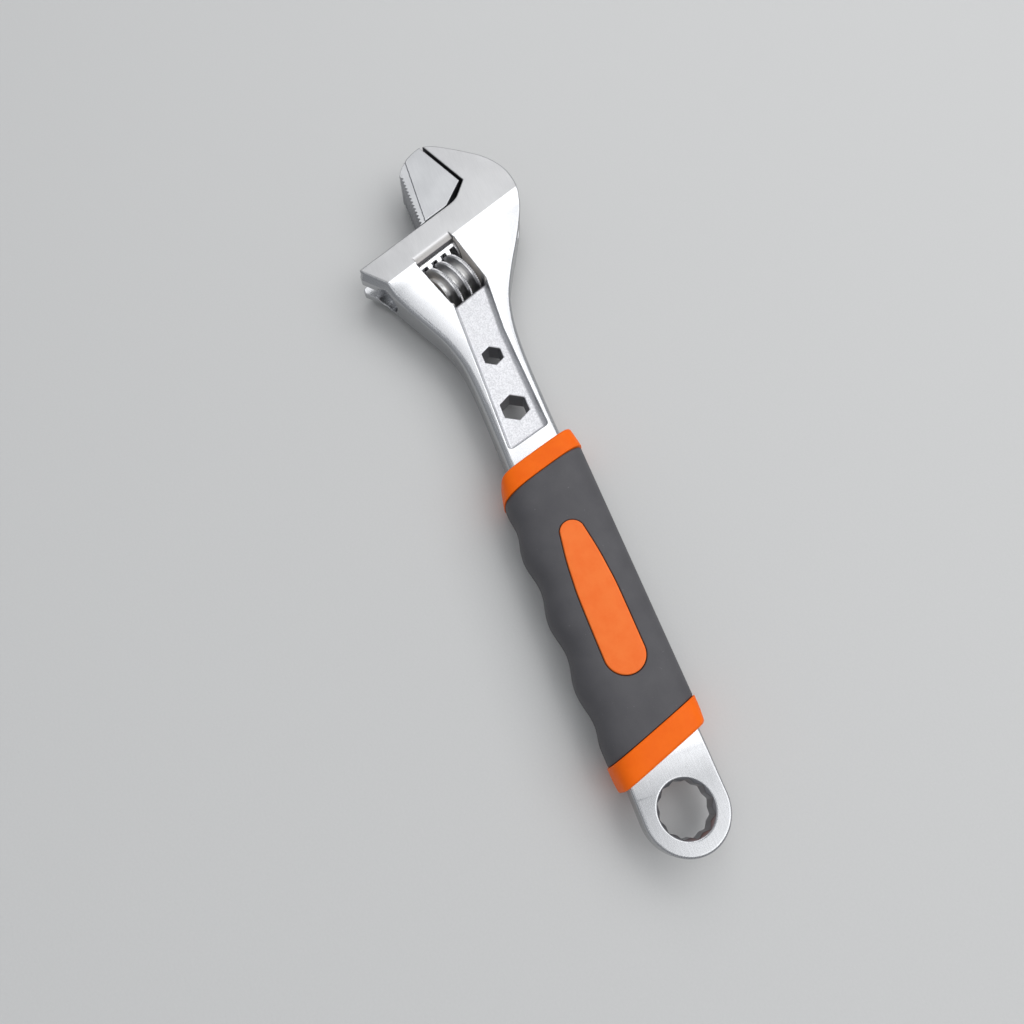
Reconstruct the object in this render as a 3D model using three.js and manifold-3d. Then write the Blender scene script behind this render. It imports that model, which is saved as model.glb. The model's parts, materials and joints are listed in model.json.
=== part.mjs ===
// An adjustable wrench of the 300 mm class with a reversible jaw, in millimetres.
// It is drawn with the centre of its ring at x = y = 0 and its mid-plane at z = 0: x runs along the
// handle to the head, and y to the side on which the jaw opens. The group is then moved so that the
// middle of the underside of its box is the origin.
// The jaws have a frame of their own, turned JAW_ANGLE about z: u runs from the handle to the jaw
// tips, and v is the way in which the jaw slides open.
import * as THREE from "three";
import { mergeVertices } from "three/addons/utils/BufferGeometryUtils.js";
import Module from "manifold-3d";

const wasm = await Module();
wasm.setup();

// ---- driving dimensions -------------------------------------------------------------------------
const GAP = 0.3; // clearance between pieces
const JAW_ANGLE = THREE.MathUtils.degToRad(24);

const RING_RADIUS = 14.5;
const RING_HALF = 4.5; // half the thickness of the ring end
const RING_FLATS = 16; // across the flats of the twelve-point socket
const RING_CHAMFER_RADIUS = 9.5;

const TANG_HALF_WIDTH = 11.5;
const TANG_HALF = 5.6; // half the thickness of the tang in the grip
const NECK_HALF_WIDTH = 11.8;
const NECK_HALF = 7;
const HEAD_HALF = 8.5;
const CLEAR = 12; // above the thickest steel, for cuts that go right through
const SWELL = { depth: 2, half: 5.5, from: 176, to: 212 }; // the near side bulges at mid-thickness

const POCKET_FLOOR = 4; // half the thickness of the web between the two pockets
const POCKET_DRAFT = 1.05; // how far a pocket's wall leans in from its rim to its floor
const LARGE_HEX = { x: 153.5, flats: 10 };
const SMALL_HEX = { x: 178.2, flats: 7.6 };

const SLIDE_U = 227.5; // the surface that the jaw slides on
const CREASE_U = 214.8; // where the flat of the head ends and its shoulder begins
const SHOULDER_START_U = 184;
const FIXED_FACE_V = -122.8;
const JAW_FACE_V = -121.6;
const JAW_TIP_U = 259.3;
const JAW_BACK_Y = 7.6; // the serrated back of the jaw, parallel to the handle

const WORM_U = 201.8;
const WORM_RADIUS = 10.1;
const WORM_ROOT = 6.2;
const WORM_ENDS = [-94.3, -78.9];
const PITCH = 5.05;
const RIDGE_V = -81.9; // where a ridge of the worm passes over the top of it
const RIDGE_HALF = { crest: 0.95, root: 1.5 };

const RACK_U = 213.9;
const RACK_RADIUS = 5.3;
const RACK_ENDS = [-118, -65.2];
const RACK_VALLEY_U = 212.2;
const RACK_NOTCH = { valley: 1.3, mouth: 1.9, mouthU: 206, lean: 0.1 }; // half widths
const TONGUE_HALF = 2.3;
const TONGUE_TOP_U = 224;
const BORE_END_V = -119.8;

const WINDOW = [[190.2, -76.4], [190.2, -95.1], [214.2, -99.2], [214.2, -78.7]];
const LEDGE = { rimU: 217.2, wallU: 214.2, drop: 1.6, ends: [-99, -79.2] };
const LIP = { rimU: 189, wallU: 190.2, drop: 1, ends: [-94.4, -77] };

const PIN_RADIUS = 1.75;
const PIN_HEAD = { radius: 3.2, length: 2.6 };
const PIN_ENDS = [-119.4, -71]; // the slotted head, and the tip across the window
const SPRING = { radius: 2.75, wire: 0.4, ends: [-96.0, -89.4], turns: 4 };
const SPRING_POCKET = { radius: 3.5, depth: 5.5 };

const GRIP_SLANT = -0.326; // how far the ends of the grip lean along x for each mm of y
const GRIP = { start: 25.7, end: 122.7, halfWidth: 17.4, halfHeight: 11.4, power: 3 };
const FINGERS = { first: 46.2, pitch: 24.9, depth: 0.95 };
const CORE = { halfWidth: 15, halfHeight: 8.8, power: 3.5 };
// Sections of each collar: distance from the grip, half width, half height, and how boxy it is.
const FRONT_COLLAR = [[0, 17.7, 11.8, 3.4], [4.5, 16.7, 11.4, 4.2], [7.7, 15.9, 10.9, 5],
  [8.3, 15.3, 10.3, 5]];
const REAR_COLLAR = [[0, 17.7, 11.8, 3.4], [4.5, 17.4, 11.4, 4], [8.3, 16.9, 10.9, 4.6],
  [8.9, 16.4, 10.3, 4.6]];
const INLAY = { start: 43.9, end: 100.8, wide: 7.15, narrow: 4.6, floor: 9.9, top: 11.8 };
const INLAY_TAPER = [[72, 7.05], [80, 6.6], [88, 5.85]]; // half widths between its two round ends

const STEEL = { color: 0xcdced4, roughness: 0.38, metalness: 1 };
const DARK_STEEL = { color: 0x8d8f96, roughness: 0.4, metalness: 1 };
const ORANGE = { color: 0xf7741f, roughness: 0.5, metalness: 0 };
const GREY_RUBBER = { color: 0x4a4a52, roughness: 0.75, metalness: 0 };

// ---- small geometry helpers ---------------------------------------------------------------------
function toSolid(geometry) {
  const bare = geometry.clone();
  bare.deleteAttribute("normal");
  bare.deleteAttribute("uv");
  const merged = mergeVertices(bare, 1e-4);
  return new wasm.Manifold(
    new wasm.Mesh({
      numProp: 3,
      vertProperties: new Float32Array(merged.attributes.position.array),
      triVerts: new Uint32Array(merged.index.array),
    }),
  );
}

function solidFrom(position, index) {
  const geometry = new THREE.BufferGeometry();
  geometry.setAttribute("position", new THREE.Float32BufferAttribute(position, 3));
  geometry.setIndex(index);
  return toSolid(geometry);
}

function toGeometry(solid) {
  const mesh = solid.getMesh();
  const geometry = new THREE.BufferGeometry();
  geometry.setAttribute("position", new THREE.BufferAttribute(mesh.vertProperties, 3));
  geometry.setIndex(new THREE.BufferAttribute(mesh.triVerts, 1));
  geometry.computeVertexNormals();
  return geometry;
}

function arc(cx, cy, radius, fromDegrees, toDegrees, steps) {
  return Array.from({ length: steps + 1 }, (_, i) => {
    const angle = THREE.MathUtils.degToRad(fromDegrees + ((toDegrees - fromDegrees) * i) / steps);
    return [cx + radius * Math.cos(angle), cy + radius * Math.sin(angle)];
  });
}

function spline(points, steps) {
  const curve = new THREE.SplineCurve(points.map(([x, y]) => new THREE.Vector2(x, y)));
  return curve.getSpacedPoints(steps).map((p) => [p.x, p.y]);
}

// A polygon whose corners are rounded by the radius given for each of them.
function rounded(corners, radii, steps = 5) {
  const out = [];
  corners.forEach((corner, i) => {
    const here = new THREE.Vector2(...corner);
    const before = new THREE.Vector2(...corners.at(i - 1)).sub(here).normalize();
    const after = new THREE.Vector2(...corners[(i + 1) % corners.length]).sub(here).normalize();
    const half = Math.acos(THREE.MathUtils.clamp(before.dot(after), -1, 1)) / 2;
    const reach = radii[i] / Math.tan(half);
    const start = before.multiplyScalar(reach).add(here);
    const end = after.multiplyScalar(reach).add(here);
    const curve = new THREE.QuadraticBezierCurve(start, here, end);
    out.push(...curve.getPoints(steps).map((p) => [p.x, p.y]));
  });
  return out;
}

// The corners of a counter-clockwise polygon with every side moved inwards.
function inset(corners, distance) {
  return corners.map((corner, i) => {
    const here = new THREE.Vector2(...corner);
    const before = here.clone().sub(new THREE.Vector2(...corners.at(i - 1))).normalize();
    const after = new THREE.Vector2(...corners[(i + 1) % corners.length]).sub(here).normalize();
    const turn = 1 + before.dot(after);
    const across = new THREE.Vector2(-before.y - after.y, before.x + after.x);
    return here.add(across.multiplyScalar(distance / turn)).toArray();
  });
}

function prism(points, z0, z1) {
  const shape = new THREE.Shape(points.map(([x, y]) => new THREE.Vector2(x, y)));
  const geometry = new THREE.ExtrudeGeometry(shape, { depth: z1 - z0, bevelEnabled: false });
  return toSolid(geometry.translate(0, 0, z0));
}

// A solid whose plan changes from level to level, with the same count of points at each.
function taperedPrism(levels) {
  const { points } = levels[0];
  const contour = points.map(([x, y]) => new THREE.Vector2(x, y));
  const caps = THREE.ShapeUtils.triangulateShape(contour, []);
  const count = points.length;
  const position = levels.flatMap((level) => level.points.map(([x, y]) => [x, y, level.z])).flat();
  const last = (levels.length - 1) * count;
  const ends = caps.flatMap(([a, b, c]) => [a, c, b, last + a, last + b, last + c]);
  return solidFrom(position, [...wallsBetween(levels.length, count), ...ends]);
}

// A profile in (x, z), extruded along y from y0 to y1; in the jaws' frame, (u, z) along v.
function sideways(points, y0, y1, turn = 0) {
  const shape = new THREE.Shape(points.map(([x, z]) => new THREE.Vector2(x, z)));
  const geometry = new THREE.ExtrudeGeometry(shape, { depth: y1 - y0, bevelEnabled: false });
  return toSolid(geometry.rotateX(Math.PI / 2).translate(0, y1, 0).rotateZ(turn));
}

// The faces between one closed ring of points and the next.
function wallsBetween(ringCount, count) {
  const index = [];
  for (let r = 0; r + 1 < ringCount; r += 1) {
    for (let i = 0; i < count; i += 1) {
      const a = r * count + i;
      const b = r * count + ((i + 1) % count);
      index.push(a, b, b + count, a, b + count, a + count);
    }
  }
  return index;
}

// A solid through closed rings of points, each convex and with the same count.
function loft(rings) {
  const count = rings[0].length;
  const position = rings.flat(2);
  const index = wallsBetween(rings.length, count);
  const last = (rings.length - 1) * count;
  for (let i = 1; i + 1 < count; i += 1) {
    index.push(0, i + 1, i);
    index.push(last, last + i, last + i + 1);
  }
  return solidFrom(position, index);
}

// A round bar along v in the jaws' frame, from a profile of [radius, v] that starts and ends at
// radius 0.
function turnedAlongV(profile, u, sides) {
  const points = profile.map(([radius, v]) => new THREE.Vector2(radius, v));
  return toSolid(new THREE.LatheGeometry(points, sides).translate(u, 0, 0).rotateZ(JAW_ANGLE));
}

function barAlongV(radius, u, v0, v1, sides) {
  return turnedAlongV([[0, v0], [radius, v0], [radius, v1], [0, v1]], u, sides);
}

function fromJaw([u, v]) {
  const point = new THREE.Vector2(u, v).rotateAround(new THREE.Vector2(), JAW_ANGLE);
  return [point.x, point.y];
}

function hexagon(x, flats) {
  return arc(x, 0, flats / Math.sqrt(3), 0, 300, 5);
}

function bothFaces(solid) {
  return solid.add(solid.mirror([0, 0, 1]));
}

// ---- body: ring, tang, neck and fixed jaw in one forging ----------------------------------------
function tangOutline(grow) {
  const wide = RING_RADIUS + grow;
  const tang = TANG_HALF_WIDTH + grow;
  const neck = NECK_HALF_WIDTH + grow;
  const side = [[0, wide], [21.4, wide], [27, tang], [118, tang], [124, neck], [146, neck]];
  return [...side.map(([x, y]) => [x, -y]), ...side.reverse()];
}

// The plan of the forging: swell is 0 at the flat faces of the head, and 1 at mid-thickness.
function bodyOutline(swell) {
  const ring = arc(0, 0, RING_RADIUS, 90, 270, 36);
  const farSide = spline(
    [[130, -11.8], [150, -11.9], [166, -12], [180, -12.5], [192, -13.9], [203, -16.8], [215, -22.2],
      [228, -29.2], [240, -35], [247, -37.3], [254, -38.1], [261, -37.2], [267, -34.6],
      [273, -30], [279, -22.3], [284.6, -13.6], [286.7, -9], fromJaw([JAW_TIP_U, FIXED_FACE_V])],
    64,
  );
  const throat = [[233.4, FIXED_FACE_V], [229.7, -116.6], [228.3, -114], [227.7, -111.6],
    [SLIDE_U, -109]];
  const cornerOfHead = [[SLIDE_U, -61.4], [227.4 - 0.6 * swell, -59.6 + 0.6 * swell],
    [226.6 - 1.6 * swell, -59.8 + 1.6 * swell]];
  const nearSide = spline(
    [[222.6, 29.5], [212, 24.5], [202, 20], [190, 15.6], [178, 13.1], [166, 12.1], [150, 11.8],
      [130, 11.8]],
    40,
  ).map(([x, y]) => {
    const share = swell * THREE.MathUtils.smoothstep(x, SWELL.from, SWELL.to);
    const [dx, dy] = fromJaw([0, SWELL.depth * share]);
    return [x + dx, y + dy];
  });
  const shank = tangOutline(0);
  return [
    ...ring,
    ...shank.slice(1, 5),
    ...farSide,
    ...throat.map(fromJaw),
    ...cornerOfHead.map(fromJaw),
    ...nearSide,
    ...shank.slice(7, 11),
  ];
}

// Half the thickness along the handle: thin at the ring, thicker from the grip to the neck.
function handleProfile(grow) {
  const upper = [[-20, RING_HALF], [9, RING_HALF], [13, RING_HALF + 0.15], [17, RING_HALF + 0.5],
    [24, TANG_HALF], [112, TANG_HALF], [122, NECK_HALF]].map(([x, z]) => [x, z + grow]);
  const end = grow > 0 ? [[146, NECK_HALF + grow]] : [[150, NECK_HALF], [151, CLEAR], [300, CLEAR]];
  const half = [...upper, ...end];
  return [...half.map(([x, z]) => [x, -z]), ...half.reverse()];
}

// Half the thickness towards the jaws: the shoulder swells from the neck up to the flat head.
function headProfile() {
  const half = [[-40, CLEAR], [112, CLEAR], [113, NECK_HALF]];
  const steps = 14;
  for (let i = 0; i <= steps; i += 1) {
    const share = i / steps;
    const u = SHOULDER_START_U + (CREASE_U - SHOULDER_START_U) * share;
    half.push([u, NECK_HALF + (HEAD_HALF - NECK_HALF) * share * share]);
  }
  half.push([300, HEAD_HALF]);
  return [...half.map(([u, z]) => [u, -z]), ...half.reverse()];
}

function pocketCut() {
  const rim = [[135.4, 8.9], [141.1, -8.9], [187, -7.9], [212.7, -9.5], [216, -4], [208, 6.9]];
  const radii = [1.8, 1.8, 24, 0.4, 0.4, 0.4];
  const above = 2;
  const lean = POCKET_DRAFT / (NECK_HALF - POCKET_FLOOR);
  const ring = (corners, z) => rounded(corners, radii).map(([x, y]) => [x, y, z]);
  return loft([
    ring(inset(rim, POCKET_DRAFT), POCKET_FLOOR),
    ring(inset(rim, -above * lean), NECK_HALF + above),
  ]);
}

function ringSocket() {
  const points = [];
  for (let i = 0; i < 12; i += 1) {
    const tip = (Math.PI / 6) * i;
    const valley = tip + Math.PI / 12;
    const tipRadius = RING_FLATS / 2 / Math.cos(Math.PI / 6);
    const valleyRadius = RING_FLATS / 2 / Math.cos(Math.PI / 12);
    points.push([tipRadius * Math.cos(tip), tipRadius * Math.sin(tip)]);
    points.push([valleyRadius * Math.cos(valley), valleyRadius * Math.sin(valley)]);
  }
  const star = prism(points, -HEAD_HALF, HEAD_HALF);
  const slope = [[0, 3], [RING_CHAMFER_RADIUS - 1.5, 3], [RING_CHAMFER_RADIUS, RING_HALF],
    [RING_CHAMFER_RADIUS, 6], [0, 6]];
  const cone = new THREE.LatheGeometry(slope.map(([r, z]) => new THREE.Vector2(r, z)), 40);
  return star.add(bothFaces(toSolid(cone.rotateX(Math.PI / 2))));
}

function wormWindow() {
  const opening = prism(rounded(WINDOW, [0.6, 1.6, 0.6, 0.6]).map(fromJaw), -CLEAR, CLEAR);
  const { rimU, wallU, drop, ends } = LEDGE;
  const bevel = [[wallU - 1, HEAD_HALF - drop], [wallU, HEAD_HALF - drop], [rimU, HEAD_HALF],
    [rimU, CLEAR], [wallU - 1, CLEAR]];
  const lip = [[LIP.wallU, POCKET_FLOOR - LIP.drop], [LIP.wallU + 1, POCKET_FLOOR - LIP.drop],
    [LIP.wallU + 1, 5], [LIP.rimU, 5], [LIP.rimU, POCKET_FLOOR]];
  return opening
    .add(bothFaces(sideways(bevel, ...ends, JAW_ANGLE)))
    .add(bothFaces(sideways(lip, ...LIP.ends, JAW_ANGLE)));
}

// The round bore that holds the rack, and the slot that the tongue runs in.
function rackWay() {
  const bore = barAlongV(RACK_RADIUS + GAP, RACK_U, BORE_END_V, -50, 32);
  const half = TONGUE_HALF + GAP;
  const slot = [[RACK_U, BORE_END_V], [245, BORE_END_V], [245, -50], [RACK_U, -50]];
  return bore.add(prism(slot.map(fromJaw), -half, half));
}

function pinBore() {
  const head = PIN_HEAD.radius + GAP;
  const shaft = PIN_RADIUS + GAP;
  const seat = PIN_ENDS[0] + PIN_HEAD.length + GAP;
  const tip = PIN_ENDS[1] + GAP;
  const profile = [[0, -150], [head, -150], [head, seat], [shaft, seat], [shaft, tip], [0, tip]];
  return turnedAlongV(profile, WORM_U, 24);
}

function makeBody() {
  const levels = [[-CLEAR, 0], [-HEAD_HALF, 0], [-SWELL.half, 1], [SWELL.half, 1], [HEAD_HALF, 0],
    [CLEAR, 0]];
  return taperedPrism(levels.map(([z, swell]) => ({ z, points: bodyOutline(swell) })))
    .intersect(sideways(handleProfile(0), -60, 60))
    .intersect(sideways(headProfile(), -220, 120, JAW_ANGLE))
    .subtract(ringSocket())
    .subtract(prism(hexagon(LARGE_HEX.x, LARGE_HEX.flats), -CLEAR, CLEAR))
    .subtract(prism(hexagon(SMALL_HEX.x, SMALL_HEX.flats), -CLEAR, CLEAR))
    .subtract(bothFaces(pocketCut()))
    .subtract(wormWindow())
    .subtract(rackWay())
    .subtract(pinBore());
}

// ---- movable jaw: jaw, tongue and rack in one forging -------------------------------------------
function jawPlate() {
  const tip = spline(
    [fromJaw([JAW_TIP_U, JAW_FACE_V]), [286.7, -5], [285.5, -2.6], [283.8, 0.1], [281.4, 3],
      [278.6, 5.4], [275, JAW_BACK_Y]],
    12,
  );
  const footU = SLIDE_U + GAP;
  const backV = (JAW_BACK_Y - footU * Math.sin(JAW_ANGLE)) / Math.cos(JAW_ANGLE);
  const foot = [[footU, backV], [footU, -108.4], [234.1, JAW_FACE_V]];
  return [...foot.map(fromJaw), ...tip];
}

// V notches across the back of the jaw, which give it its teeth.
function serrations() {
  const pitch = 1.95;
  const depth = 1.1;
  const count = 15;
  const notches = [];
  for (let i = 0; i < count; i += 1) {
    const x = 245.4 + pitch * i;
    const notch = [[x, JAW_BACK_Y - depth], [x + pitch / 2, JAW_BACK_Y], [x + pitch / 2, CLEAR],
      [x - pitch / 2, CLEAR], [x - pitch / 2, JAW_BACK_Y]];
    notches.push(prism(notch, -CLEAR, CLEAR));
  }
  return notches.reduce((all, one) => all.add(one));
}

// The band along the teeth lies a little below the middle of the jaw.
function serratedBandCut() {
  const band = [[240, 5.3], [283, 2.9], [290, 5], [290, 20], [240, 20]];
  return bothFaces(prism(band, HEAD_HALF - 0.5, CLEAR));
}

function rackNotches() {
  const { valley, mouth, mouthU, lean } = RACK_NOTCH;
  const notches = [];
  const overWorm = RIDGE_V + PITCH / 4;
  const half = RACK_RADIUS + 1;
  for (let v = overWorm + 3 * PITCH; v > RACK_ENDS[0]; v -= PITCH) {
    // The notch leans with the worm's helix as it goes from one side of the rack to the other.
    const ring = (z) => [[RACK_VALLEY_U, v - valley], [RACK_VALLEY_U, v + valley],
      [mouthU, v + mouth], [mouthU, v - mouth]].map(([u, w]) => [...fromJaw([u, w - lean * z]), z]);
    notches.push(loft([ring(-half), ring(half)]));
  }
  return notches.reduce((all, one) => all.add(one));
}

function makeMovableJaw() {
  const [inner, outer] = RACK_ENDS;
  const bevel = 1;
  const barrel = turnedAlongV(
    [[0, inner], [RACK_RADIUS, inner], [RACK_RADIUS, outer - bevel], [RACK_RADIUS - bevel, outer],
      [0, outer]],
    RACK_U,
    32,
  );
  const tongue = [[RACK_U, inner], [233, inner], [229.5, -109], [229.5, -95], [TONGUE_TOP_U, -91],
    [TONGUE_TOP_U, outer], [RACK_U, outer]];
  return prism(jawPlate(), -HEAD_HALF, HEAD_HALF)
    .subtract(serrations())
    .subtract(serratedBandCut())
    .add(prism(tongue.map(fromJaw), -TONGUE_HALF, TONGUE_HALF))
    .add(barrel)
    .subtract(rackNotches());
}

// ---- worm with its pin and spring ---------------------------------------------------------------
// A right-handed ridge about v, long enough to run out of both ends of the worm.
function wormRidge() {
  const stepsPerTurn = 24;
  const turns = 5;
  const rings = [];
  for (let i = 0; i <= turns * stepsPerTurn; i += 1) {
    const angle = (i / stepsPerTurn - turns / 2) * 2 * Math.PI;
    const v = RIDGE_V - PITCH + (PITCH * angle) / (2 * Math.PI);
    const corner = (radius, along) => [...fromJaw([WORM_U + radius * Math.sin(angle), v + along]),
      radius * Math.cos(angle)];
    const { crest, root } = RIDGE_HALF;
    rings.push([corner(WORM_ROOT - 1, -root), corner(WORM_ROOT - 1, root),
      corner(WORM_RADIUS, crest), corner(WORM_RADIUS, -crest)]);
  }
  return loft(rings);
}

function makeWorm() {
  const [low, high] = WORM_ENDS;
  const blank = barAlongV(WORM_RADIUS + 2, WORM_U, low, high, 16);
  const core = barAlongV(WORM_ROOT, WORM_U, low, high, 24);
  const springSeat = low + SPRING_POCKET.depth;
  return core
    .add(wormRidge().intersect(blank))
    .subtract(barAlongV(PIN_RADIUS + GAP, WORM_U, low - 1, high + 1, 20))
    .subtract(barAlongV(SPRING_POCKET.radius, WORM_U, low - 1, springSeat, 24));
}

function makeWormPin() {
  const [head, tip] = PIN_ENDS;
  const shoulder = head + PIN_HEAD.length;
  const profile = [[0, head], [PIN_HEAD.radius, head], [PIN_HEAD.radius, shoulder],
    [PIN_RADIUS, shoulder], [PIN_RADIUS, tip - 0.4], [PIN_RADIUS - 0.4, tip], [0, tip]];
  const slot = [[WORM_U - 0.5, head - 1], [WORM_U + 0.5, head - 1], [WORM_U + 0.5, head + 1.2],
    [WORM_U - 0.5, head + 1.2]];
  return turnedAlongV(profile, WORM_U, 24).subtract(prism(slot.map(fromJaw), -5, 5));
}

function makeWormSpring() {
  const [low, high] = SPRING.ends;
  const stepsPerTurn = 12;
  const rings = [];
  const steps = SPRING.turns * stepsPerTurn;
  for (let i = 0; i <= steps; i += 1) {
    const angle = (i / stepsPerTurn) * 2 * Math.PI;
    const v = low + SPRING.wire + ((high - low - 2 * SPRING.wire) * i) / steps;
    rings.push(arc(SPRING.radius, v, SPRING.wire, 0, 300, 5).map(([radius, along]) =>
      [...fromJaw([WORM_U + radius * Math.sin(angle), along]), radius * Math.cos(angle)]));
  }
  return loft(rings.map((ring) => ring.reverse()));
}

// ---- grip -----------------------------------------------------------------------------------------
// One slanted ring round the handle, where the line of the ring crosses the handle's middle at x.
function gripRing(x, { halfWidth, halfHeight, power }, count, fingers = 0) {
  return Array.from({ length: count }, (_, i) => {
    const angle = (2 * Math.PI * (i + 0.5)) / count;
    const side = Math.cos(angle);
    const up = Math.sin(angle);
    const reach = (value) => Math.sign(value) * Math.abs(value) ** (2 / power);
    const flatY = halfWidth * reach(side);
    const along = x + GRIP_SLANT * flatY;
    const y = flatY * (1 + (side > 0 ? (fingers * fingerWave(along)) / halfWidth : 0));
    return [x + GRIP_SLANT * y, y, halfHeight * reach(up)];
  });
}

// The finger grooves along the side of the grip, which fade out before the collars.
function fingerWave(x) {
  const { first, pitch, depth } = FINGERS;
  const fade = THREE.MathUtils.smoothstep(x, 22, 34) * (1 - THREE.MathUtils.smoothstep(x, 104, 118));
  return depth * fade * Math.cos((2 * Math.PI * (x - first)) / pitch);
}

// The room that the forging takes inside the grip.
function tangRoom() {
  return prism(tangOutline(GAP), -CLEAR, CLEAR).intersect(sideways(handleProfile(GAP), -60, 60));
}

function inlayOutline(grow) {
  const { start, end, wide, narrow } = INLAY;
  const straight = INLAY_TAPER.map(([x, y]) => [x, y + grow]);
  const back = arc(start + wide, 0, wide + grow, 90, 270, 16);
  const front = arc(end - narrow, 0, narrow + grow, -70, 70, 10);
  return [...back, ...straight.map(([x, y]) => [x, -y]), ...front, ...straight.reverse()];
}

function makeGripSleeve() {
  const steps = 24;
  const rings = Array.from({ length: steps + 1 }, (_, i) =>
    gripRing(GRIP.start + ((GRIP.end - GRIP.start) * i) / steps, GRIP, 36, 1));
  const bore = { ...CORE, halfWidth: CORE.halfWidth + GAP, halfHeight: CORE.halfHeight + GAP };
  const room = loft([gripRing(GRIP.start - 5, bore, 36), gripRing(GRIP.end + 5, bore, 36)]);
  const recess = bothFaces(prism(inlayOutline(GAP), INLAY.floor - GAP, 14));
  return loft(rings).subtract(room).subtract(recess);
}

function makeGripCore() {
  const ends = [GRIP.start + GAP, GRIP.end - GAP];
  return loft(ends.map((x) => gripRing(x, CORE, 36))).subtract(tangRoom());
}

// A collar between the grip and the bare steel: direction is 1 where the steel lies towards the head.
function makeCollar(x, direction, sections) {
  const rings = sections.map(([distance, halfWidth, halfHeight, power]) => {
    const along = x + direction * (GAP + distance);
    return gripRing(along, { halfWidth, halfHeight, power }, 36);
  });
  return loft(direction > 0 ? rings : rings.reverse()).subtract(tangRoom());
}

function makeInlay(side) {
  const { floor, top } = INLAY;
  return prism(inlayOutline(0), side > 0 ? floor : -top, side > 0 ? top : -floor);
}

// ---- the assembly -----------------------------------------------------------------------------------
const assembly = new THREE.Group();

function add(name, solid, look) {
  const mesh = new THREE.Mesh(toGeometry(solid), new THREE.MeshStandardMaterial(look));
  mesh.name = name;
  assembly.add(mesh);
}

add("body_forging", makeBody(), STEEL);
add("movable_jaw", makeMovableJaw(), STEEL);
add("adjusting_worm", makeWorm(), STEEL);
add("worm_pin", makeWormPin(), DARK_STEEL);
add("worm_spring", makeWormSpring(), DARK_STEEL);
add("grip_core", makeGripCore(), ORANGE);
add("grip_sleeve", makeGripSleeve(), GREY_RUBBER);
add("front_collar", makeCollar(GRIP.end, 1, FRONT_COLLAR), ORANGE);
add("rear_collar", makeCollar(GRIP.start, -1, REAR_COLLAR), ORANGE);
add("inlay_top", makeInlay(1), ORANGE);
add("inlay_bottom", makeInlay(-1), ORANGE);

const box = new THREE.Box3().setFromObject(assembly);
assembly.position.set(-(box.min.x + box.max.x) / 2, -(box.min.y + box.max.y) / 2, -box.min.z);

const wrench = new THREE.Group();
wrench.add(assembly);

export default wrench;
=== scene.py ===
"""The looks of the adjustable wrench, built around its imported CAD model.

Each visible piece is drawn as a field: a distance to its surface in millimetres, negative inside, on a
fine grid of points. Fields are joined and cut with rounded edges, and then turned into a mesh. They are
drawn in the part's own drawing frame: the centre of the ring at x = y = 0, the mid-plane at z = 0, x
along the handle and y to the side on which the jaw opens. The jaws have a frame of their own, turned by
JAW_ANGLE: u runs from the handle to the jaw tips, and v is the way in which the jaw slides open.
"""
import itertools
import json
import math

import bpy
import numpy as np
from mathutils import Matrix, Vector


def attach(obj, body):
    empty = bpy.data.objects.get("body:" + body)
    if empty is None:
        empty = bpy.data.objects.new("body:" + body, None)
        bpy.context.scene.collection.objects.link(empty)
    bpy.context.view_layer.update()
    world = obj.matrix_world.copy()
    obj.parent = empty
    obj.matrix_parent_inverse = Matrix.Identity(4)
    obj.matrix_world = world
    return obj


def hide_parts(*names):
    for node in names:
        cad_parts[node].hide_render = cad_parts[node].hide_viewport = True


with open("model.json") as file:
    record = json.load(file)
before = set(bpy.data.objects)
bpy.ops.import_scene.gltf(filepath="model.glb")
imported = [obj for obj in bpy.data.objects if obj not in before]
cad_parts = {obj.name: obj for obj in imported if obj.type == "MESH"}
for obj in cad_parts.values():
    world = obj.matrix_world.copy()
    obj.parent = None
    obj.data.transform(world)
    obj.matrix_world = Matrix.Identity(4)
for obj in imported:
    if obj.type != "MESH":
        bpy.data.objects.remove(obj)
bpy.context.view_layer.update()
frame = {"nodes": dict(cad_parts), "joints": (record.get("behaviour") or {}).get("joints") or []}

MM = 0.001
COARSE = 1.0

# ---- driving dimensions, in millimetres, as in the CAD ------------------------------------------
GAP = 0.3
SNUG = 0.06  # gap between moulded plastic and steel
SEAM = 0.12  # gap between the grip's sleeve and each collar
JAW_ANGLE = math.radians(24)
COS, SIN = math.cos(JAW_ANGLE), math.sin(JAW_ANGLE)

RING_RADIUS = 14.5
RING_HALF = 4.5
RING_FLATS = 16
RING_CHAMFER_RADIUS = 9.5
TANG_HALF_WIDTH = 11.5
TANG_HALF = 5.6
NECK_HALF_WIDTH = 11.8
NECK_HALF = 7
HEAD_HALF = 8.5
SWELL_DEPTH, SWELL_HALF, SWELL_FROM, SWELL_TO = 2, 5.5, 176, 212
CROWN, CROWN_WIDTH = 0.8, 11  # the shoulders fall away a little towards their outer edges
POCKET_FLOOR = 4
POCKET_DRAFT = 1.05
HEXAGONS = ((153.5, 10), (178.2, 7.6))

SLIDE_U = 227.5
CREASE_U = 214.8
SHOULDER_START_U = 184
FIXED_FACE_V = -122.8
JAW_FACE_V = -121.6
JAW_TIP_U = 259.3
JAW_BACK_Y = 7.6
TOOTH_PITCH, TOOTH_DEPTH, FIRST_TOOTH_X, TEETH = 1.95, 1.1, 245.4, 15

WORM_U = 201.8
WORM_RADIUS = 10.1
WORM_ROOT = 6.2
RIDGE_HALF, RIDGE_FOOT, RIDGE_TAPER = 1.5, 4, 0.55 / 6.1  # half its width, measured at this radius
WORM_ENDS = (-94.3, -78.9)
PITCH = 5.05
RIDGE_V = -81.9
KNURLS, KNURL_DEPTH = 64, 0.45

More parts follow.
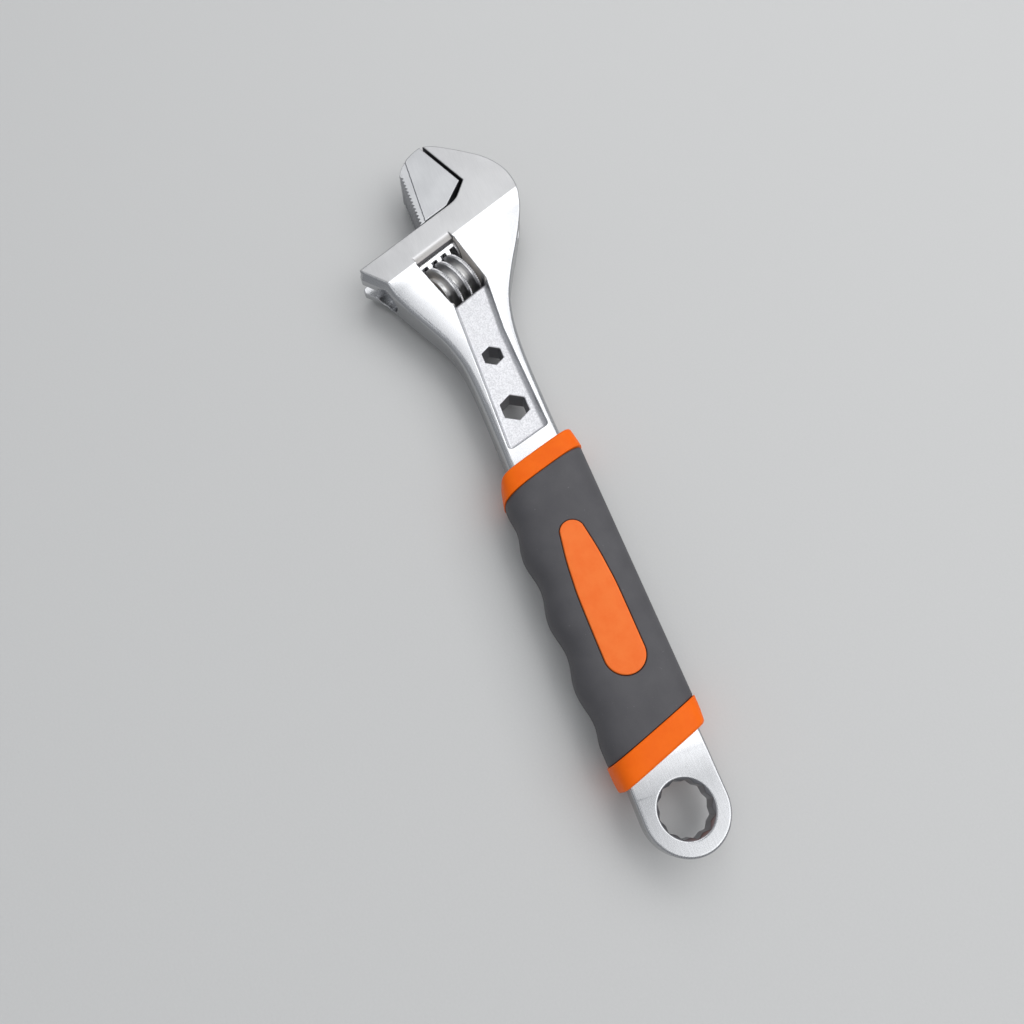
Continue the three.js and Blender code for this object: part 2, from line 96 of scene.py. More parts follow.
RACK_U = 213.9
RACK_RADIUS = 5.3
RACK_ENDS = (-118, -65.2)
RACK_VALLEY_U = 212.2
NOTCH_HALF, NOTCH_TAPER = 1.3, 0.6 / 6.2  # half a notch's width at its bottom
TONGUE_HALF = 2.3
TONGUE_TOP_U = 224
BORE_END_V = -119.8

WINDOW = ((190.2, -76.4), (190.2, -95.1), (214.2, -99.2), (214.2, -78.7))
LEDGE_WALL_U, LEDGE_RIM_U, LEDGE_DROP = 214.2, 217.2, 1.6  # the slope on the jaw's side of the window
LEDGE_ENDS = (-99, -79.2)
LIP_START_U, LIP_DROP, LIP_RUN = 189, 1.2, 1.0  # the slope from the pocket's floor into the window
LIP_ENDS = (-94.4, -77)

# Corners of two places with colours of their own: round the window, which has a cast finish with painted
# light and painted shade on its walls, and between the jaws, whose walls get painted shade.
WINDOW_ROOM = ((189.3, -76.3), (189.3, -95), (217.4, -99.9), (217.4, -78.9))
THROAT = ((226.5, -107), (226.5, -124.5), (262, -124.5), (262, -120.2))

PIN_RADIUS = 1.75
PIN_HEAD_RADIUS, PIN_HEAD_LENGTH = 3.2, 2.6
PIN_SLOT_HALF, PIN_SLOT_DEPTH = 0.5, 1.2
PIN_ENDS = (-119.4, -71)
SPRING_RADIUS, SPRING_WIRE, SPRING_TURNS = 2.75, 0.4, 4
SPRING_ENDS = (-96.0, -89.4)
SPRING_POCKET_RADIUS, SPRING_POCKET_DEPTH = 3.5, 5.5

GRIP_SLANT = -0.326
GRIP_START, GRIP_END = 25.7, 122.7
GRIP_HALF_WIDTH, GRIP_HALF, GRIP_POWER = 17.4, 11.4, 3
CORE_HALF_WIDTH, CORE_HALF, CORE_POWER = 15, 8.8, 3.5
FINGER_FIRST, FINGER_PITCH, FINGER_DEPTH = 46.2, 24.9, 0.95
# Sections of each collar: distance from the grip, half width, half height, and how boxy it is.
FRONT_COLLAR = ((0, 17.7, 11.8, 3.4), (4.5, 16.7, 11.4, 4.2), (7.7, 15.9, 10.9, 5),
                (8.3, 15.3, 10.3, 5))
REAR_COLLAR = ((0, 17.7, 11.8, 3.4), (4.5, 17.4, 11.4, 4), (8.3, 16.9, 10.9, 4.6),
               (8.9, 16.4, 10.3, 4.6))
INLAY_START, INLAY_END, INLAY_WIDE, INLAY_NARROW, INLAY_FLOOR = 43.9, 100.8, 7.15, 4.6, 9.9
INLAY_TAPER = ((72, 7.05), (80, 6.6), (88, 5.85))
INLAY_PROUD = 0.35  # how far the inlay stands above the grip
INLAY_GAP = 0.25

CAMERA_LENS = 26.72
CAMERA_ANGLES = (21.546, 1.859, 112.3)  # pitch, roll and heading, in degrees
CAMERA_FROM_RING = (0.0196, 0.0546, 0.2605)  # from the centre of the ring, in metres

# The middle of the worm is known in both frames, which gives the way from one to the other.
WORM_MIDDLE_V = sum(WORM_ENDS) / 2
hinge = next(j for j in frame["joints"] if j["name"] == "worm_turn")
OFFSET = np.array(hinge["pos_m"]) / MM - np.array(
    [WORM_U * COS - WORM_MIDDLE_V * SIN, WORM_U * SIN + WORM_MIDDLE_V * COS, 0])


# ---- outlines -------------------------------------------------------------------------------------
def from_jaw(point):
    """A point or direction of the jaws' frame, in the drawing frame."""
    u, v = point
    return (u * COS - v * SIN, u * SIN + v * COS)


def arc(cx, cy, radius, start, end, steps):
    """Points along an arc between two angles in degrees."""
    angles = np.radians(np.linspace(start, end, steps + 1))
    return [(cx + radius * math.cos(a), cy + radius * math.sin(a)) for a in angles]


def spline(points, per_span=10):
    """Points along a smooth curve through the ones given."""
    p = np.array([points[0], *points, points[-1]], float)
    out = []
    for i in range(1, len(p) - 2):
        before, start, end, after = p[i - 1], p[i], p[i + 1], p[i + 2]
        out_slope, in_slope = (end - before) / 2, (after - start) / 2
        for t in np.arange(per_span) / per_span:
            out.append((2 * start - 2 * end + out_slope + in_slope) * t**3
                       + (3 * end - 3 * start - 2 * out_slope - in_slope) * t**2
                       + out_slope * t + start)
    out.append(p[-1])
    return [tuple(q) for q in out]


def rounded(corners, radii, steps=6):
    """A polygon whose corners are rounded by the radius given for each of them."""
    out = []
    for i, radius in enumerate(radii):
        here = np.array(corners[i], float)
        before = np.array(corners[i - 1]) - here
        after = np.array(corners[(i + 1) % len(corners)]) - here
        before /= np.linalg.norm(before)
        after /= np.linalg.norm(after)
        reach = radius / math.tan(math.acos(before @ after) / 2)
        for t in np.linspace(0, 1, steps + 1):
            out.append(here + before * reach * (1 - t) ** 2 + after * reach * t**2)
    return out


def smoothstep(x, low, high):
    t = np.clip((x - low) / (high - low), 0, 1)
    return t * t * (3 - 2 * t)


def handle_side():
    """The edge of the ring end, tang and neck on one side, from the ring to the neck."""
    return [(0, RING_RADIUS), (21.4, RING_RADIUS), (27, TANG_HALF_WIDTH), (118, TANG_HALF_WIDTH),
            (124, NECK_HALF_WIDTH), (146, NECK_HALF_WIDTH)]


def body_outline(swell):
    """The plan of the forging: swell is 0 at the flat faces of the head, and 1 at mid-thickness."""
    side = handle_side()
    far_side = spline([
        (130, -11.8), (150, -11.9), (166, -12), (180, -12.5), (192, -13.9), (203, -16.8),
        (215, -22.2), (228, -29.2), (240, -35), (247, -37.3), (254, -38.1), (261, -37.2),
        (267, -34.6), (273, -30), (279, -22.3), (284.6, -13.6), (286.7, -9),
        from_jaw((JAW_TIP_U, FIXED_FACE_V))])
    throat = [(233.4, FIXED_FACE_V), (229.7, -116.6), (228.3, -114), (227.7, -111.6), (SLIDE_U, -109)]
    corner = [(SLIDE_U, -61.4), (227.4 - 0.6 * swell, -59.6 + 0.6 * swell),
              (226.6 - 1.6 * swell, -59.8 + 1.6 * swell)]
    near_side = []
    for x, y in spline([(222.6, 29.5), (212, 24.5), (202, 20), (190, 15.6), (178, 13.1),
                        (166, 12.1), (150, 11.8), (130, 11.8)]):
        shift = SWELL_DEPTH * swell * smoothstep(x, SWELL_FROM, SWELL_TO)
        dx, dy = from_jaw((0, shift))
        near_side.append((x + dx, y + dy))
    return [*arc(0, 0, RING_RADIUS, 90, 270, 60), *[(x, -y) for x, y in side[1:5]], *far_side,
            *map(from_jaw, throat), *map(from_jaw, corner), *near_side,
            *[side[i] for i in (4, 3, 2, 1)]]


def jaw_outline():
    """The plan of the part of the jaw that lies outside the head."""
    tip = spline([from_jaw((JAW_TIP_U, JAW_FACE_V)), (286.7, -5), (285.5, -2.6), (283.8, 0.1),
                  (281.4, 3), (278.6, 5.4), (275, JAW_BACK_Y)], 4)
    foot_u = SLIDE_U + GAP
    back_v = (JAW_BACK_Y - foot_u * SIN) / COS
    foot = [(foot_u, back_v), (foot_u, -108.4), (234.1, JAW_FACE_V)]
    return [*map(from_jaw, foot), *tip]


def inlay_outline(grow):
    """The plan of an inlay, round at both ends and narrower towards the head."""
    straight = [(x, y + grow) for x, y in INLAY_TAPER]
    back = arc(INLAY_START + INLAY_WIDE, 0, INLAY_WIDE + grow, 90, 270, 40)
    front = arc(INLAY_END - INLAY_NARROW, 0, INLAY_NARROW + grow, -70, 70, 24)
    side = spline([back[0], *straight, front[-1]], 6)[1:-1]
    return [*back, *[(x, -y) for x, y in side], *front, *reversed(side)]


# ---- fields ---------------------------------------------------------------------------------------
class Grid:
    """The points of a box, as one array for each axis. A turned grid has u and v for its axes."""

    def __init__(self, low, high, step, turned=False):
        self.step = step * COARSE
        self.low = np.array(low, float)
        self.turned = turned
        axes = [np.arange(a, b + self.step, self.step, dtype=np.float32) for a, b in zip(low, high)]
        first, second, self.z = np.ix_(*axes)
        if turned:
            self.u, self.v = first, second
            self.x, self.y = from_jaw((first, second))
        else:
            self.x, self.y = first, second
            self.u = first * COS + second * SIN
            self.v = second * COS - first * SIN
        self.height = np.abs(self.z)

    def plan(self, points, in_jaw=False):
        """The distance to the edge of a polygon in plan, negative inside."""
        x, y = (self.u, self.v) if in_jaw else (self.x, self.y)
        x, y = np.broadcast_arrays(x, y)
        best = np.full(x.shape, np.inf, np.float32)
        inside = np.zeros(x.shape, bool)
        for (ax, ay), (bx, by) in zip(points, [*points[1:], points[0]]):
            ex, ey = bx - ax, by - ay
            length = ex * ex + ey * ey
            if length < 1e-12:
                continue
            px, py = x - ax, y - ay
            t = np.clip((px * ex + py * ey) / length, 0, 1)
            best = np.minimum(best, (px - t * ex) ** 2 + (py - t * ey) ** 2)
            if abs(ey) > 1e-9:
                inside ^= ((ay > y) != (by > y)) & (px < ex * py / ey)
        return np.where(inside, -np.sqrt(best), np.sqrt(best))

    def along_v(self, u):
        """The distance to a line along v at mid-height."""
        return np.hypot(self.u - u, self.z)


def meet(a, b, radius=0.0):
    """What two fields share, with the edge between them rounded."""
    if np.isscalar(radius) and radius == 0:
        return np.maximum(a, b)
    return np.minimum(np.maximum(a, b), -radius) + np.hypot(
        np.maximum(a + radius, 0), np.maximum(b + radius, 0))


def without(a, b, radius=0.0):
    """The first field with the second cut out of it."""
    return meet(a, -b, radius)


def either(a, b, radius=0.0):
    """Two fields joined, with the corner between them filled."""
    return -meet(-a, -b, radius)


def between(value, low, high):
    return np.maximum(low - value, value - high)


def repeated(value, pitch):
    """The distance along an axis from the middle of the nearest of many places, one pitch apart."""
    return np.mod(value + pitch / 2, pitch) - pitch / 2


def superellipse(y, z, half_width, half_height, power):
    """About the distance to an ellipse that gets boxier as the power rises, negative inside."""
    y, z = np.abs(y), np.abs(z)
    size = (y / half_width) ** power + (z / half_height) ** power
    size = np.maximum(size, 1e-6)
    scale = size ** (1 / power - 1) * np.hypot(
        y ** (power - 1) / half_width**power, z ** (power - 1) / half_height**power)
    return (size ** (1 / power) - 1) / np.maximum(scale, 0.02)


def sample(field, at):
    """The field at points given in grid steps, by trilinear interpolation."""
    top = np.array(field.shape) - 2
    cell = np.clip(np.floor(at).astype(int), 0, top)
    share = at - cell
    total = np.zeros(len(at))
    for corner in itertools.product((0, 1), repeat=3):
        weight = np.prod(np.where(np.array(corner), share, 1 - share), axis=1)
        total += weight * field[tuple((cell + corner).T)]
    return total


def slope(field, at):
    """The way in which the field grows, at points given in grid steps."""
    out = np.empty_like(at)
    for axis in range(3):
        step = 0.5 * np.eye(3)[axis]
        out[:, axis] = sample(field, at + step) - sample(field, at - step)
    return out


def skin(field):
    """The vertices, in grid steps, and the quads of the surface where the field is zero."""
    inside = field < 0
    shape = np.array(field.shape) - 1
    some, every = np.zeros(shape, bool), np.ones(shape, bool)
    for corner in itertools.product((0, 1), repeat=3):
        part = inside[tuple(slice(c, c + n) for c, n in zip(corner, shape))]
        some |= part
        every &= part
    active = some & ~every
    cells = np.argwhere(active)
    number = np.full(shape, -1, np.int32)
    number[active] = np.arange(len(cells))
    total, hits = np.zeros((len(cells), 3)), np.zeros(len(cells))
    quads = []
    for axis in range(3):
        unit = np.eye(3, dtype=int)
        along, second, third = unit[axis], unit[(axis + 1) % 3], unit[(axis + 2) % 3]
        for b, c in itertools.product((0, 1), repeat=2):
            start = cells + b * second + c * third
            f0, f1 = field[tuple(start.T)], field[tuple((start + along).T)]
            crossed = (f0 < 0) != (f1 < 0)
            t = f0[crossed] / (f0[crossed] - f1[crossed])
            total[crossed] += start[crossed] + t[:, None] * along
            hits[crossed] += 1
        ahead = tuple(slice(1, None) if along[i] else slice(None) for i in range(3))
        behind = tuple(slice(0, -1) if along[i] else slice(None) for i in range(3))
        edges = np.argwhere(inside[ahead] != inside[behind])
        ring = [number[tuple((edges - b * second - c * third).T)]
                for b, c in ((0, 0), (1, 0), (1, 1), (0, 1))]
        quad = np.stack(ring, axis=1)
        outward = inside[tuple(edges.T)]
        quads.append(np.where(outward[:, None], quad, quad[:, ::-1]))
    at = total / hits[:, None]
    for _ in range(2):
        way = slope(field, at)
        shift = -sample(field, at)[:, None] * way / np.maximum((way**2).sum(1), 1e-6)[:, None]
        at += np.clip(shift, -0.5, 0.5)
    return at, np.concatenate(quads)


def mesh_object(name, points, faces):
    mesh = bpy.data.meshes.new(name)
    mesh.from_pydata([], [], [])
    mesh.vertices.add(len(points))
    mesh.vertices.foreach_set("co", points.astype(np.float32).ravel())
    mesh.loops.add(faces.size)
    mesh.loops.foreach_set("vertex_index", faces.astype(np.int32).ravel())
    mesh.polygons.add(len(faces))
    mesh.polygons.foreach_set("loop_start", np.arange(0, faces.size, faces.shape[1], dtype=np.int32))
    mesh.update(calc_edges=True)
    mesh.validate()
    piece = bpy.data.objects.new(name, mesh)
    bpy.context.scene.collection.objects.link(piece)
    return piece


def thinned(piece, triangles):
    """Leaves about as many triangles as asked for, fewer where the surface is flat."""
    count = 2 * len(piece.data.polygons)
    if count <= triangles:
        return
    thin = piece.modifiers.new("thin", "DECIMATE")
    thin.ratio = triangles / count
    mesh = bpy.data.meshes.new_from_object(
        piece.evaluated_get(bpy.context.evaluated_depsgraph_get()))
    piece.modifiers.remove(thin)
    old = piece.data
    piece.data = mesh
    mesh.name = piece.name
    bpy.data.meshes.remove(old)


def build(name, field, grid, triangles):
    """A piece from its field, in the CAD frame, with its normals taken from the field."""
    at, quads = skin(field)
    piece = mesh_object(name, at, quads)
    thinned(piece, triangles)
    mesh = piece.data
    at = np.empty(len(mesh.vertices) * 3, np.float32)
    mesh.vertices.foreach_get("co", at)
    at = at.reshape(-1, 3).astype(float)
    normals = slope(field, at)
    normals /= np.maximum(np.linalg.norm(normals, axis=1), 1e-9)[:, None]
    points = at * grid.step + grid.low
    if grid.turned:
        points[:, 0], points[:, 1] = from_jaw((points[:, 0], points[:, 1]))
        normals[:, 0], normals[:, 1] = from_jaw((normals[:, 0].copy(), normals[:, 1].copy()))
    points = (points + OFFSET) * MM
    mesh.vertices.foreach_set("co", points.astype(np.float32).ravel())
    mesh.shade_smooth()
    mesh.update()
    mesh.normals_split_custom_set_from_vertices([tuple(n) for n in normals])
    return piece


# ---- the shapes -------------------------------------------------------------------------------------
def handle_half(x):
    """Half the thickness along the handle: thin at the ring, thicker from the grip to the neck."""
    table_x = [-20, 9, 13, 17, 24, 112, 122, 300]
    table_z = [RING_HALF, RING_HALF, RING_HALF + 0.15, RING_HALF + 0.5, TANG_HALF, TANG_HALF,
               NECK_HALF, NECK_HALF]
    spread = np.linspace(-1.6, 1.6, 9)  # softens the corners of the profile
    return np.mean([np.interp(x + d, table_x, table_z) for d in spread], axis=0)


def edge_radius(x):
    """How rounded the forging's long edges are: most at the neck, least at the head."""
    return np.interp(x, [14, 22, 130, 175, 214, 232], [0.9, 1.5, 2.6, 2.3, 0.9, 0.55])


def blank(grid):
    """The forging before anything is cut out of it."""
    share = np.clip((HEAD_HALF - grid.height) / (HEAD_HALF - SWELL_HALF), 0, 1)  # of the swell
    flat, swollen = grid.plan(body_outline(0)), grid.plan(body_outline(1))
    sides = flat + (swollen - flat) * share
    rise = np.clip((grid.u - SHOULDER_START_U) / (CREASE_U - SHOULDER_START_U), 0, 1)
    shoulder = NECK_HALF + (HEAD_HALF - NECK_HALF) * rise**2
    half = np.where(grid.x > 150, shoulder, handle_half(grid.x))  # both are NECK_HALF there
    crown = CROWN * np.clip(1 + sides / CROWN_WIDTH, 0, 1) ** 2
    # The crown fades out before the grip and before the crease.
    crown = crown * smoothstep(grid.x, 130, 150) * (1 - smoothstep(grid.u, CREASE_U - 7, CREASE_U))
    return meet(sides, grid.height - half + crown, edge_radius(grid.x))


def ring_socket(grid):
    """The twelve-point hole, and the chamfer round it."""
    star = []
    for i in range(12):
        tip = math.pi / 6 * i
        valley = tip + math.pi / 12
        star.append((RING_FLATS / 2 / math.cos(math.pi / 6), tip))
        star.append((RING_FLATS / 2 / math.cos(math.pi / 12), valley))
    hole = grid.plan([(r * math.cos(a), r * math.sin(a)) for r, a in star])
    slope_out = (np.hypot(grid.x, grid.y) - RING_CHAMFER_RADIUS - grid.height + RING_HALF)
    return either(hole, slope_out / math.sqrt(2), 0.1)


def pocket(grid):
    """The long hollow in each broad face of the neck, with walls that lean outwards."""
    rim = rounded(((135.4, 8.9), (141.1, -8.9), (187, -7.9), (212.7, -9.5), (216, -4), (208, 6.9)),
                  (1.8, 1.8, 24, 0.4, 0.4, 0.4))
    lean = POCKET_DRAFT / (NECK_HALF - POCKET_FLOOR)
    walls = (grid.plan(rim) + lean * (NECK_HALF - grid.height)) / math.hypot(1, lean)
    return meet(walls, POCKET_FLOOR - grid.height, 0.7)


def worm_window(grid):
    """The opening for the worm, and the slopes at two of its edges."""
    opening = grid.plan(rounded(WINDOW, (0.6, 1.6, 0.6, 0.6)), in_jaw=True)
    run = LEDGE_RIM_U - LEDGE_WALL_U
    slant = LEDGE_DROP * (grid.u - LEDGE_WALL_U) - run * (grid.height - HEAD_HALF + LEDGE_DROP)
    ledge = np.maximum(slant / math.hypot(LEDGE_DROP, run), between(grid.v, *LEDGE_ENDS))
    ledge = np.maximum(ledge, between(grid.u, LEDGE_WALL_U - 1.2, LEDGE_RIM_U + 0.2))
    slant = LIP_DROP * (POCKET_FLOOR - grid.height) - LIP_RUN * (grid.u - LIP_START_U)
    lip = np.maximum(slant / math.hypot(LIP_DROP, LIP_RUN), between(grid.v, *LIP_ENDS))
    lip = np.maximum(lip, between(grid.u, LIP_START_U - 0.1, WINDOW[0][0] + 1))
    lip = np.maximum(lip, grid.height - POCKET_FLOOR - 1)
    return opening, np.minimum(ledge, lip)


def body_field(grid):
    """The forging with its holes, pockets, window, and the ways for the rack and the pin."""
    body = without(blank(grid), ring_socket(grid), 0.18)
    for x, flats in HEXAGONS:
        hexagon = arc(x, 0, flats / math.sqrt(3), 0, 300, 5)
        body = without(body, grid.plan(hexagon), 0.3)
    body = without(body, pocket(grid), 0.35)
    opening, bevels = worm_window(grid)
    body = without(body, bevels, 0.12)
    body = without(body, opening, 0.25)
    bore = meet(grid.along_v(RACK_U) - RACK_RADIUS - GAP, BORE_END_V - grid.v)
    body = without(body, bore, 0.2)
    slot = np.maximum(grid.height - TONGUE_HALF - GAP, np.maximum(RACK_U - grid.u, BORE_END_V - grid.v))
    body = without(body, slot, 0.25)
    from_pin = grid.along_v(WORM_U)
    seat = PIN_ENDS[0] + PIN_HEAD_LENGTH + GAP
    body = without(body, np.maximum(from_pin - PIN_HEAD_RADIUS - GAP, grid.v - seat), 0.2)
    return without(body, np.maximum(from_pin - PIN_RADIUS - GAP, grid.v - PIN_ENDS[1] - GAP), 0.2)


def jaw_plate(grid):
    """The part of the jaw outside the head, with its toothed back and a low step in front of the teeth."""
    plate = meet(grid.plan(jaw_outline()), grid.height - HEAD_HALF, 0.5)
    across = np.abs(repeated(grid.x - FIRST_TOOTH_X, TOOTH_PITCH))
    steep = 2 * TOOTH_DEPTH / TOOTH_PITCH
    notch = (across * steep - (grid.y - JAW_BACK_Y + TOOTH_DEPTH)) / math.hypot(1, steep)
    first_edge = FIRST_TOOTH_X - TOOTH_PITCH / 2
    ends = between(grid.x, first_edge, first_edge + TEETH * TOOTH_PITCH)
    plate = without(plate, np.maximum(notch, ends), 0.1)
    step_plan = grid.plan([(240, 5.3), (283, 2.9), (290, 5), (290, 20), (240, 20)])
    return without(plate, np.maximum(step_plan, HEAD_HALF - 0.5 - grid.height), 0.12)


def jaw_field(grid):
    """The jaw's plate, and the tongue and round rack that guide it in the head."""
    inner, outer = RACK_ENDS
    tongue = grid.plan([(RACK_U, inner), (233, inner), (229.5, -109), (229.5, -95),
                        (TONGUE_TOP_U, -91), (TONGUE_TOP_U, outer), (RACK_U, outer)], in_jaw=True)
    tongue = meet(tongue, grid.height - TONGUE_HALF, 0.3)
    barrel = meet(grid.along_v(RACK_U) - RACK_RADIUS, between(grid.v, inner, outer), 0.8)
    jaw = either(either(tongue, barrel, 0.5), jaw_plate(grid))
    over_worm = RIDGE_V + PITCH / 4
    lean = 0.1  # each notch leans with the worm's helix
    from_notch = np.abs(repeated(grid.v + lean * grid.z - over_worm, PITCH))
    notch = from_notch - (NOTCH_HALF + (RACK_VALLEY_U - grid.u) * NOTCH_TAPER)
    return without(jaw, np.maximum(notch, grid.u - RACK_VALLEY_U), 0.2)


def worm_field(grid):
    """One helical ridge with a knurled edge, on a root with a hole for the pin and room for the spring."""
    radius = grid.along_v(WORM_U)
    angle = np.arctan2(grid.u - WORM_U, grid.z)
    from_ridge = repeated(grid.v - RIDGE_V - PITCH * angle / (2 * math.pi), PITCH)
    flank = np.abs(from_ridge) - (RIDGE_HALF - (radius - RIDGE_FOOT) * RIDGE_TAPER)
    wave = 1 - np.abs(np.mod(angle * KNURLS / math.pi, 2) - 1)  # 0 at a knurl's bottom, 1 at its top
    knurl = KNURL_DEPTH * smoothstep(wave, 0.8, 0.2) * smoothstep(from_ridge, 0.1, -0.15)
    ridge = meet(flank, radius - WORM_RADIUS + knurl, 0.22)
    worm = either(radius - WORM_ROOT, ridge, 0.9)
    worm = meet(worm, between(grid.v, *WORM_ENDS), 0.3)
    worm = without(worm, radius - PIN_RADIUS - GAP, 0.2)
    room_end = WORM_ENDS[0] + SPRING_POCKET_DEPTH
    return without(worm, np.maximum(radius - SPRING_POCKET_RADIUS, grid.v - room_end), 0.2)


def pin_field(grid):
    """A plain pin with a slotted head."""
    radius = grid.along_v(WORM_U)
    head, tip = PIN_ENDS
    shaft = meet(radius - PIN_RADIUS, between(grid.v, head, tip), 0.35)
    cap = meet(radius - PIN_HEAD_RADIUS, between(grid.v, head, head + PIN_HEAD_LENGTH), 0.3)
    slot = np.maximum(np.abs(grid.u - WORM_U) - PIN_SLOT_HALF, grid.v - head - PIN_SLOT_DEPTH)
    return without(either(shaft, cap, 0.2), slot, 0.12)


def spring_field(grid):
    """A coil of round wire, ground flat at both ends."""
    low, high = SPRING_ENDS
    start = low + SPRING_WIRE
    coil = (high - low - 2 * SPRING_WIRE) / SPRING_TURNS
    angle = np.arctan2(grid.u - WORM_U, grid.z)
    beside = repeated(grid.v - start - coil * angle / (2 * math.pi), coil)
    wire = np.hypot(grid.along_v(WORM_U) - SPRING_RADIUS, beside) - SPRING_WIRE
    return meet(wire, between(grid.v, low + 0.1, high - 0.1), 0.1)


def grip_width(grid):
    """y with the finger grooves taken out, so that the grip's side is straight in it."""
    fade = smoothstep(grid.x, 22, 34) * (1 - smoothstep(grid.x, 104, 118))
    wave = FINGER_DEPTH * fade * np.cos(2 * math.pi * (grid.x - FINGER_FIRST) / FINGER_PITCH)
    return np.where(grid.y > 0, grid.y / (1 + wave / GRIP_HALF_WIDTH), grid.y)


def station(grid):
    """Where along the handle the slanted section through each point crosses its middle."""
    return grid.x - GRIP_SLANT * grid.y


def sleeve_field(grid):
    """The rubber, hollow for the core, with a recess for each inlay."""
    square = math.hypot(1, GRIP_SLANT)
    outside = superellipse(grip_width(grid), grid.z, GRIP_HALF_WIDTH, GRIP_HALF, GRIP_POWER)
    sleeve = meet(outside, between(station(grid), GRIP_START, GRIP_END) / square, 0.35)
    room = superellipse(grid.y, grid.z, CORE_HALF_WIDTH + GAP, CORE_HALF + GAP, CORE_POWER)
    sleeve = without(sleeve, room)
    recess = np.maximum(grid.plan(inlay_outline(INLAY_GAP)), INLAY_FLOOR - GAP - grid.height)
    return without(sleeve, recess, 0.3)


def inlay_field(grid):
    """An inlay whose top follows the grip's roundness, a little above it."""
    crown = superellipse(grip_width(grid), grid.z, GRIP_HALF_WIDTH + INLAY_PROUD,
                         GRIP_HALF + INLAY_PROUD, GRIP_POWER)
    inlay = meet(grid.plan(inlay_outline(0)), crown, 0.45)
    return meet(inlay, INLAY_FLOOR - grid.height)


def collar_field(grid, end, direction, sections):
    """A ring round the steel beyond one end of the grip, shaped by its sections."""
    square = math.hypot(1, GRIP_SLANT)
    along = direction * (station(grid) - end) - SEAM
    distance, *sizes = zip(*sections)
    spread = np.linspace(-0.3, 0.3, 7)  # softens the corners of the profile
    sizes = [np.mean([np.interp(along + d, distance, size) for d in spread], axis=0) for size in sizes]
    collar = superellipse(grid.y, grid.z, *sizes)
    collar = meet(collar, between(along, 0, distance[-1]) / square, 0.3)
    return without(collar, blank(grid) - SNUG, 0.12)


